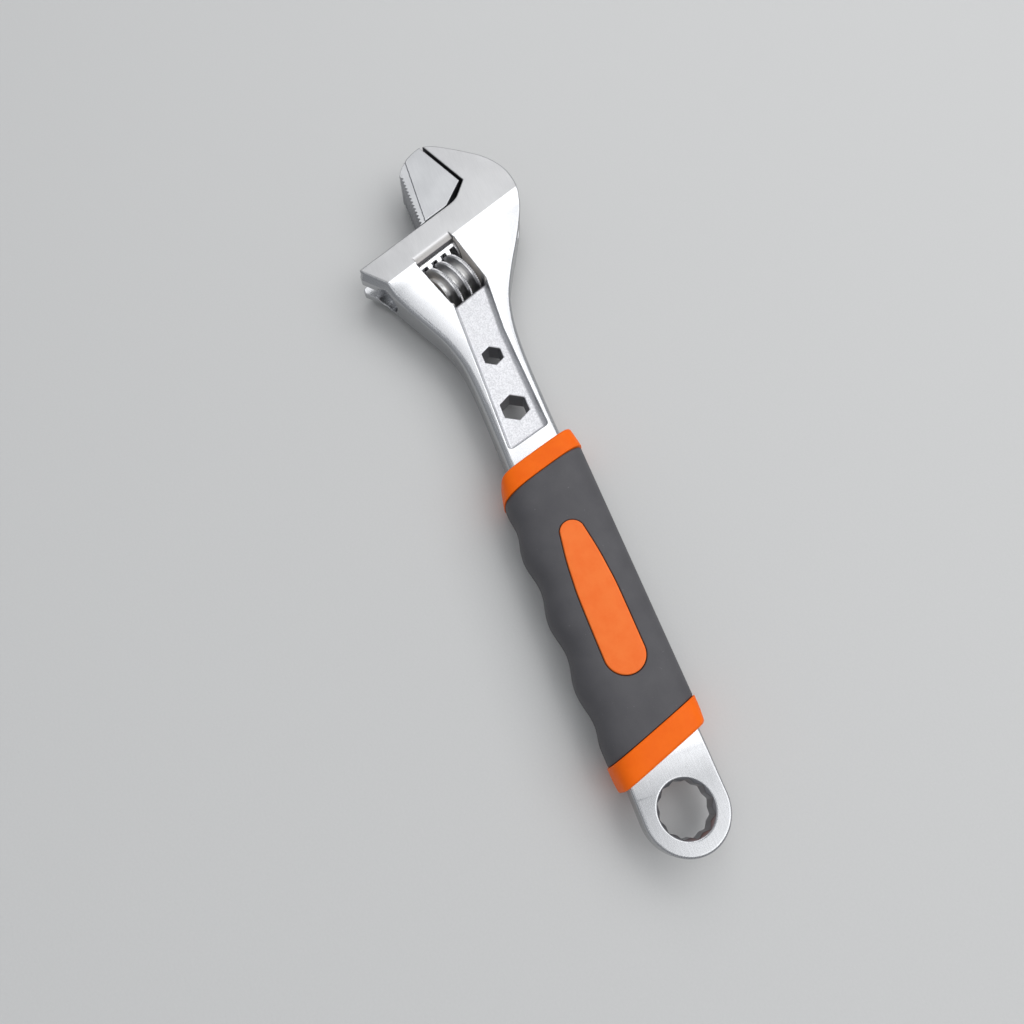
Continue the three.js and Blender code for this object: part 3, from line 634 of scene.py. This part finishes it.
# ---- materials ----------------------------------------------------------------------------------------
class Surface:
    """A node material, with short ways to add the nodes that the looks need."""

    def __init__(self, name, metallic=0.0):
        self.material = bpy.data.materials.new(name)
        self.material.use_nodes = True
        self.nodes, self.links = self.material.node_tree.nodes, self.material.node_tree.links
        self.shader = self.nodes["Principled BSDF"]
        self.shader.inputs["Metallic"].default_value = metallic
        self.place = self.nodes.new("ShaderNodeTexCoord").outputs["Object"]

    def node(self, kind, inputs=(), **settings):
        made = self.nodes.new(kind)
        for key, value in settings.items():
            setattr(made, key, value)
        for slot, value in dict(inputs).items():
            if isinstance(value, bpy.types.NodeSocket):
                self.links.new(value, made.inputs[slot])
            else:
                made.inputs[slot].default_value = value
        return made

    def maths(self, operation, *values):
        return self.node("ShaderNodeMath", enumerate(values), operation=operation).outputs[0]

    def noise(self, size_mm, detail, roughness, stretch=None):
        """Soft noise with lumps of about this size. A stretch makes them longer along the axes."""
        place = self.place
        if stretch is not None:
            place = self.node("ShaderNodeMapping", {"Vector": place, "Scale": stretch[1],
                                                    "Rotation": (0, 0, stretch[0])}).outputs[0]
        scale = 1 / (size_mm * MM)
        made = self.node("ShaderNodeTexNoise", {"Vector": place, "Scale": scale, "Detail": detail,
                                                "Roughness": roughness})
        return made.outputs["Fac"]

    def ramp(self, value, low, high, out_low=0.0, out_high=1.0):
        """A value that goes straight from one output to the other between two limits."""
        made = self.node("ShaderNodeMapRange", {"Value": value, "From Min": low, "From Max": high,
                                                "To Min": out_low, "To Max": out_high})
        return made.outputs[0]

    def blend(self, share, first, second):
        """A colour between two others."""
        return self.node("ShaderNodeMix", {0: share, 6: first, 7: second},
                         data_type="RGBA").outputs[2]

    def plan_distance(self, direction, from_mm):
        """How far a point lies along a direction in plan, in metres."""
        dot = self.node("ShaderNodeVectorMath", {0: self.place, 1: (*direction, 0)},
                        operation="DOT_PRODUCT").outputs["Value"]
        shift = (from_mm + OFFSET[0] * direction[0] + OFFSET[1] * direction[1]) * MM
        return self.maths("SUBTRACT", dot, shift)

    def left_of(self, start, end):
        """How far a point lies to the left of a line in plan, between two points of the jaws' frame."""
        way = np.subtract(from_jaw(end), from_jaw(start))
        left = np.array((-way[1], way[0])) / np.hypot(*way)
        return self.plan_distance(left, left @ from_jaw(start))

    def inside(self, corners):
        """1 inside a polygon in plan with no inward corner, given in the jaws' frame, and 0 outside."""
        edges = zip(corners, [*corners[1:], corners[0]])
        return self.both(*[self.beyond(self.left_of(*edge), 0) for edge in edges])

    def from_ring(self):
        """The distance from the middle of the ring in plan, in metres."""
        in_plan = self.node("ShaderNodeVectorMath", {0: self.place, 1: (1, 1, 0)}, operation="MULTIPLY")
        middle = (OFFSET[0] * MM, OFFSET[1] * MM, 0)
        return self.node("ShaderNodeVectorMath", {0: in_plan.outputs[0], 1: middle},
                         operation="DISTANCE").outputs["Value"]

    def upright(self):
        """1 where the surface is a wall, and 0 where it faces up or down."""
        normal = self.node("ShaderNodeNewGeometry").outputs["Normal"]
        z = self.node("ShaderNodeSeparateXYZ", {0: normal}).outputs[2]
        return self.ramp(self.maths("ABSOLUTE", z), 0.7, 0.85, 1, 0)

    def height(self):
        """The distance from the mid-plane, in metres."""
        z = self.node("ShaderNodeSeparateXYZ", {0: self.place}).outputs[2]
        return self.maths("ABSOLUTE", self.maths("SUBTRACT", z, OFFSET[2] * MM))

    def beyond(self, value, limit_mm, soft_mm=0.1):
        """1 where a value in metres is over the limit, and 0 below it."""
        return self.ramp(value, (limit_mm - soft_mm) * MM, (limit_mm + soft_mm) * MM)

    def below(self, value, limit_mm, soft_mm=0.1):
        """1 where a value in metres is under the limit, and 0 above it."""
        return self.ramp(value, (limit_mm - soft_mm) * MM, (limit_mm + soft_mm) * MM, 1, 0)

    def both(self, *masks):
        """1 where every one of the masks is 1."""
        share = masks[0]
        for mask in masks[1:]:
            share = self.maths("MULTIPLY", share, mask)
        return share

    def masked(self, mask, noise):
        """Noise about zero, which fades out with the mask."""
        return self.maths("MULTIPLY", mask, self.maths("SUBTRACT", noise, 0.5))

    def varied(self, noise, first, second):
        """A colour that goes from one to the other, as the noise goes from its lows to its highs."""
        return self.blend(self.ramp(noise, 0.3, 0.7), (*first, 1), (*second, 1))

    def bumps(self, *layers):
        """Bumps on bumps, from (height socket, depth in mm) pairs."""
        normal = None
        for value, depth in layers:
            inputs = {"Height": value, "Distance": depth * MM, "Strength": 1.0}
            if normal is not None:
                inputs["Normal"] = normal
            normal = self.node("ShaderNodeBump", inputs).outputs[0]
        self.links.new(normal, self.shader.inputs["Normal"])

    def feed(self, **sockets):
        """Links values to the shader's sockets, whose names have _ here where they have a space."""
        for name, value in sockets.items():
            self.links.new(value, self.shader.inputs[name.replace("_", " ")])


def brushed(surface, angle, length_mm, width_mm):
    """Fine lines along a direction in plan, as a belt or wheel leaves them."""
    stretch = (width_mm / length_mm, 1, 1)
    return surface.noise(width_mm, 3.0, 0.6, stretch=(-angle, stretch))


def body_places(s):
    """Masks for the parts of the forging that have a finish of their own, and for the places that get
    painted shade (walls, holes, the window's wall on the jaw's side, the throat) and painted light (the
    window's other walls).
    """
    height, wall = s.height(), s.upright()
    along = s.plan_distance((1, 0), 0)
    across = s.maths("ABSOLUTE", s.plan_distance((0, 1), 0))
    in_pocket = s.both(s.beyond(along, 134), s.below(across, 9.25, 0.15), s.below(along, 215.5, 0.5))
    blasted = s.both(in_pocket, s.below(height, 5.7, 0.5))
    window = s.both(s.inside(WINDOW_ROOM), s.below(height, 8.075, 0.375))
    socket = s.below(s.from_ring(), RING_CHAMFER_RADIUS, 0.05)
    hexagons = s.both(wall, in_pocket, s.below(height, POCKET_FLOOR - 0.3))
    past_crease = s.beyond(s.plan_distance((COS, SIN), CREASE_U), 0, 0.06)
    past_window = s.beyond(s.plan_distance((COS, SIN), WINDOW[2][0]), -0.2)
    return {
        "wall": wall,
        "flat": s.both(past_crease, s.beyond(height, HEAD_HALF - 0.15)),
        "ring": s.below(along, 17, 1),
        "blasted": blasted,
        "cast": s.both(window, s.maths("SUBTRACT", 1.0, blasted)),
        "painted_shade_sill": s.both(wall, past_window),
        "throat": s.both(s.inside(THROAT), wall),
        "holes": s.maths("MAXIMUM", socket, hexagons),
    }


def body_colour(s, places, shoulder_streak, handle_streak, streak):
    """Ground flat on the head and softer on the shoulders, with painted shade down the walls, in the
    holes, on the window's wall on the jaw's side and between the jaws, and painted light on the window's
    other walls.
    """
    soft = s.varied(shoulder_streak, (0.56, 0.565, 0.58), (0.64, 0.645, 0.66))
    ringed = s.varied(handle_streak, (0.44, 0.445, 0.455), (0.49, 0.495, 0.51))
    ground = s.varied(streak, (0.43, 0.43, 0.435), (0.49, 0.49, 0.495))
    speck = s.ramp(s.noise(0.5, 1, 0.5), 0.36, 0.62)
    rough = s.blend(speck, (0.64, 0.64, 0.66, 1), (0.82, 0.82, 0.84, 1))
    cast_with_painted_light_and_shade = s.varied(streak, (0.44, 0.425, 0.41), (0.56, 0.54, 0.525))
    # Painted light: the window's walls are pale, for light that the lamps don't bring to them.
    cast_with_painted_light_and_shade = s.blend(places["wall"], cast_with_painted_light_and_shade, (0.85, 0.8, 0.75, 1))
    # Painted shade: the window's wall on the jaw's side is nearly black, for the shade between the ledge
    # and the rack.
    cast_with_painted_light_and_shade = s.blend(places["painted_shade_sill"], cast_with_painted_light_and_shade, (0.13, 0.125, 0.13, 1))
    colour = s.blend(places["ring"], s.blend(places["flat"], soft, ground), ringed)
    # Painted shade: the walls are darker than the faces on top, for the shade down the sides.
    colour = s.blend(places["wall"], colour, (0.46, 0.465, 0.475, 1))
    colour = s.blend(places["cast"], s.blend(places["blasted"], colour, rough), cast_with_painted_light_and_shade)
    # Painted shade: the ring's socket and the hexagon holes are darker, for the shade inside them.
    colour = s.blend(places["holes"], colour, (0.32, 0.32, 0.335, 1))
    # Painted shade: the walls between the jaws are nearly black, for the shade in the narrow gap.
    return s.blend(places["throat"], colour, (0.1, 0.1, 0.11, 1))


def steel_body():
    """Satin chrome: soft on the shoulders, ground flat on the head, and rough as cast in the pockets."""
    s = Surface("chrome_satin")
    places = body_places(s)
    cloud = s.noise(14, 2, 0.5)
    streak = brushed(s, JAW_ANGLE + math.pi / 2, 9, 0.14)
    shoulder_streak = brushed(s, JAW_ANGLE + 0.35, 7, 0.2)
    handle_streak = brushed(s, 0, 14, 0.3)
    s.feed(Base_Color=body_colour(s, places, shoulder_streak, handle_streak, streak))
    s.feed(Metallic=s.ramp(places["cast"], 0, 1, 1, 0.15))
    top = s.maths("SUBTRACT", 1.0, places["wall"])
    roughness = s.maths("ADD", s.ramp(cloud, 0.3, 0.7, 0.23, 0.28),
                        s.maths("MULTIPLY", top, s.ramp(shoulder_streak, 0.3, 0.7, -0.03, 0.05)))
    rougher = {"flat": 0.14, "blasted": 0.24, "cast": 0.24, "throat": 0.3, "holes": 0.1}
    for place, extra in rougher.items():
        roughness = s.maths("ADD", roughness, s.maths("MULTIPLY", places[place], extra))
    s.feed(Roughness=roughness)
    grainy = s.maths("MAXIMUM", places["blasted"], places["cast"])
    s.bumps((s.masked(grainy, s.noise(0.32, 3, 0.65)), 0.09), (s.masked(places["flat"], streak), 0.004),
            (s.masked(places["ring"], handle_streak), 0.001), (cloud, 0.03))
    return s.material


def steel_jaw():
    """The jaw's faces are ground flat, and its sides are smoother and brighter, with painted shade on the
    toothed back and between the jaws.
    """
    s = Surface("chrome_ground", metallic=1.0)
    flat, wall = s.beyond(s.height(), HEAD_HALF - 0.7), s.upright()
    streak = brushed(s, JAW_ANGLE, 8, 0.13)
    cloud = s.noise(9, 2, 0.5)
    colour = s.varied(streak, (0.41, 0.415, 0.425), (0.47, 0.475, 0.485))
    colour = s.blend(flat, (0.74, 0.745, 0.76, 1), colour)
    # Painted shade: the walls of the toothed back are darker, for the shade down that side.
    toothed_back_shade = s.both(wall, s.beyond(s.plan_distance((0, 1), JAW_BACK_Y), -1.4),
                          s.beyond(s.plan_distance((1, 0), 0), 243))
    colour = s.blend(toothed_back_shade, colour, (0.38, 0.385, 0.4, 1))
    # Painted shade: the walls between the jaws are nearly black, for the shade in the narrow gap.
    throat = s.both(s.inside(THROAT), wall)
    s.feed(Base_Color=s.blend(throat, colour, (0.1, 0.1, 0.11, 1)))
    roughness = s.maths("ADD", s.ramp(cloud, 0.3, 0.7, 0.24, 0.3), s.maths("MULTIPLY", flat, 0.13))
    s.feed(Roughness=s.maths("ADD", roughness, s.maths("MULTIPLY", throat, 0.3)))
    s.bumps((streak, 0.004), (cloud, 0.02))
    return s.material


def steel_worm():
    """The ridges are grey in random patches, and the root between them is brighter: a painted highlight.
    """
    s = Surface("chrome_worm_highlight", metallic=1.0)
    wear = s.noise(1.6, 3, 0.6)
    away = [s.plan_distance((COS, SIN), WORM_U), s.height()]
    squares = [s.maths("MULTIPLY", distance, distance) for distance in away]
    radius = s.maths("SQRT", s.maths("ADD", *squares))
    # Painted highlight: the root between the ridges is near white, for the light along the valleys.
    root = s.ramp(radius, (WORM_ROOT + 0.3) * MM, (WORM_ROOT + 2) * MM, 1, 0)
    ridge = s.varied(wear, (0.5, 0.5, 0.51), (0.4, 0.4, 0.41))
    s.feed(Base_Color=s.blend(root, ridge, (0.86, 0.85, 0.84, 1)))
    s.feed(Roughness=s.ramp(wear, 0.3, 0.7, 0.28, 0.38))
    s.bumps((s.noise(0.25, 2, 0.6), 0.01), (wear, 0.01))
    return s.material


def steel_dark():
    """The plain oiled steel of the pin and the spring."""
    s = Surface("steel_dark", metallic=1.0)
    wear = s.noise(1.2, 3, 0.6)
    s.feed(Base_Color=s.varied(wear, (0.3, 0.3, 0.32), (0.42, 0.42, 0.44)))
    s.feed(Roughness=s.ramp(wear, 0.3, 0.7, 0.28, 0.42))
    s.bumps((s.noise(0.2, 2, 0.6), 0.008))
    return s.material


def plastic(name, light, dark, mottle_mm):
    """Moulded orange plastic: slightly mottled, with the fine skin of the mould."""
    s = Surface(name)
    mottle = s.noise(mottle_mm, 3, 0.6)
    fine = s.noise(0.9, 2, 0.5)
    s.feed(Base_Color=s.blend(s.ramp(mottle, 0.35, 0.68), (*light, 1), (*dark, 1)))
    s.feed(Roughness=s.ramp(fine, 0.3, 0.7, 0.42, 0.52))
    s.bumps((fine, 0.008), (mottle, 0.02))
    s.shader.inputs["Specular IOR Level"].default_value = 0.15
    s.shader.inputs["Subsurface Weight"].default_value = 0.05
    s.shader.inputs["Subsurface Radius"].default_value = (0.002, 0.0007, 0.0003)
    return s.material


def rubber():
    """Soft grey rubber with the fine grain of a sparked mould, and a few pale specks of dust."""
    s = Surface("rubber_grey")
    grain = s.noise(0.28, 2, 0.6)
    cloud = s.noise(11, 3, 0.55)
    scuff = s.ramp(s.noise(1.1, 2, 0.5), 0.73, 0.78)
    plain = s.varied(cloud, (0.069, 0.067, 0.074), (0.086, 0.084, 0.091))
    s.feed(Base_Color=s.blend(s.maths("MULTIPLY", scuff, 0.5), plain, (0.2, 0.2, 0.21, 1)))
    s.feed(Roughness=s.ramp(grain, 0.3, 0.7, 0.56, 0.7))
    s.bumps((grain, 0.03), (cloud, 0.06))
    return s.material


def floor_material():
    """Plain pale paper."""
    s = Surface("floor_paper")
    s.shader.inputs["Roughness"].default_value = 0.8
    fibre = s.noise(0.8, 3, 0.6)
    s.feed(Base_Color=s.blend(fibre, (0.6, 0.6, 0.595, 1), (0.64, 0.64, 0.635, 1)))
    s.bumps((fibre, 0.02))
    return s.material


# ---- the pieces ---------------------------------------------------------------------------------------
def add(name, field_of, grid, triangles, body, node, material):
    """Builds a piece, which rides on a body and stands for one node of the CAD."""
    piece = build(name, field_of(grid), grid, triangles)
    piece.data.materials.append(material)
    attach(piece, body)
    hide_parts(node)


def add_steel():
    highlighted_worm_steel, dark = steel_worm(), steel_dark()
    add("wrench_body", body_field, Grid((-15.6, -39.2, -9), (288, 41, 9), 0.3), 190000,
        "frame", "body_forging", steel_body())
    add("sliding_jaw", jaw_field, Grid((216, -23, -9), (288, 36, 9), 0.2), 150000,
        "jaw", "movable_jaw", steel_jaw())
    worm_low = (WORM_U - WORM_RADIUS - 0.6, WORM_ENDS[0] - 0.5, -WORM_RADIUS - 0.6)
    worm_high = (WORM_U + WORM_RADIUS + 0.6, WORM_ENDS[1] + 0.5, WORM_RADIUS + 0.6)
    add("knurled_worm", worm_field, Grid(worm_low, worm_high, 0.13, turned=True), 150000,
        "worm", "adjusting_worm", highlighted_worm_steel)
    add("slotted_pin", pin_field,
        Grid((WORM_U - 3.6, PIN_ENDS[0] - 0.4, -3.6), (WORM_U + 3.6, PIN_ENDS[1] + 0.4, 3.6), 0.13,
             turned=True), 40000, "frame", "worm_pin", dark)
    add("coil_spring", spring_field,
        Grid((WORM_U - 3.5, SPRING_ENDS[0] - 0.3, -3.5), (WORM_U + 3.5, SPRING_ENDS[1] + 0.3, 3.5),
             0.09, turned=True), 40000, "frame", "worm_spring", dark)


def add_grip():
    collar_orange = plastic("plastic_orange", (0.98, 0.16, 0.004), (0.94, 0.142, 0.003), 6)
    # The inlays' orange is a little lighter than the collars': painted light for their upward faces.
    inlay_orange = plastic("plastic_orange_inlay", (0.98, 0.21, 0.04), (0.95, 0.18, 0.03), 5)
    add("grip_sleeve_soft", sleeve_field, Grid((19, -18.4, -12), (130, 19.4, 12), 0.3), 160000,
        "frame", "grip_sleeve", rubber())
    reach = GRIP_SLANT * 18.4  # how far the slant shifts the collars at their sides
    for name, node, *shape in (("collar_front", "front_collar", GRIP_END, 1, FRONT_COLLAR),
                               ("collar_rear", "rear_collar", GRIP_START, -1, REAR_COLLAR)):
        end, direction, _ = shape
        ends = sorted((end, end + direction * 9.3))
        grid = Grid((ends[0] + reach - 0.5, -18.6, -12.4), (ends[1] - reach + 0.5, 18.6, 12.4), 0.22)
        add(name, lambda g, shape=shape: collar_field(g, *shape), grid, 60000,
            "frame", node, collar_orange)
    for name, node, low, high in (("inlay_upper", "inlay_top", 9.3, 12.3),
                                  ("inlay_lower", "inlay_bottom", -12.3, -9.3)):
        grid = Grid((INLAY_START - 0.6, -8, low), (INLAY_END + 0.6, 8, high), 0.16)
        add(name, inlay_field, grid, 60000, "frame", node, inlay_orange)
    core = frame["nodes"]["grip_core"]
    core.data.materials.clear()
    core.data.materials.append(collar_orange)


# ---- camera, floor and light --------------------------------------------------------------------------
def add_camera():
    """A view from above the grip, tilted towards the head."""
    pitch, roll, heading = map(math.radians, CAMERA_ANGLES)
    right = Vector((math.cos(roll), math.sin(roll) * math.cos(pitch), math.sin(roll) * math.sin(pitch)))
    forward = Vector((0, math.sin(pitch), -math.cos(pitch)))
    up = right.cross(forward)
    to_wrench = Matrix.Rotation(-heading, 3, "Z")
    columns = [to_wrench @ axis for axis in (right, up, -forward)]
    camera = bpy.data.objects.new("camera", bpy.data.cameras.new("camera"))
    camera.data.sensor_width = 36
    camera.data.lens = CAMERA_LENS
    camera.data.clip_start = 0.01
    place = Matrix(columns).transposed().to_4x4()
    place.translation = Vector(OFFSET * MM) + Vector(CAMERA_FROM_RING)
    camera.matrix_world = place
    bpy.context.scene.collection.objects.link(camera)
    bpy.context.scene.camera = camera


def add_floor():
    half = 3.0  # metres
    corners = np.array([(-half, -half, 0), (half, -half, 0), (half, half, 0), (-half, half, 0)])
    floor = mesh_object("floor", corners, np.array([[0, 1, 2, 3]]))
    floor.data.materials.append(floor_material())


def add_light(name, place, aim, size, power):
    light = bpy.data.lights.new(name, "AREA")
    light.shape = "RECTANGLE"
    light.size, light.size_y = size
    light.energy = power
    holder = bpy.data.objects.new(name, light)
    holder.location = place
    holder.rotation_euler = (Vector(aim) - Vector(place)).to_track_quat("-Z", "Y").to_euler()
    bpy.context.scene.collection.objects.link(holder)


def add_lights():
    world = bpy.data.worlds.new("studio")
    world.use_nodes = True
    background = world.node_tree.nodes["Background"]
    background.inputs["Color"].default_value = (0.9, 0.93, 0.97, 1)
    background.inputs["Strength"].default_value = 0.42
    bpy.context.scene.world = world
    bpy.context.scene.view_settings.view_transform = "Standard"
    add_light("over_head", (0.8, -0.2, 0.85), (0.1, 0, 0), (0.5, 0.7), 1.5)
    add_light("over_ring", (-0.5, -0.25, 0.95), (-0.13, 0, 0), (0.4, 0.6), 1.15)
    add_light("over_neck", (0.58, -0.22, 1.04), (0.02, 0, 0), (0.35, 0.6), 0.55)
    add_light("right", (0, -1.0, 1.3), (0, 0, 0), (2.0, 1.2), 14)
    add_light("left", (-0.05, 0.6, 1.5), (0, 0, 0), (1.2, 0.5), 1.8)


add_camera()
add_floor()
add_lights()
add_steel()
add_grip()
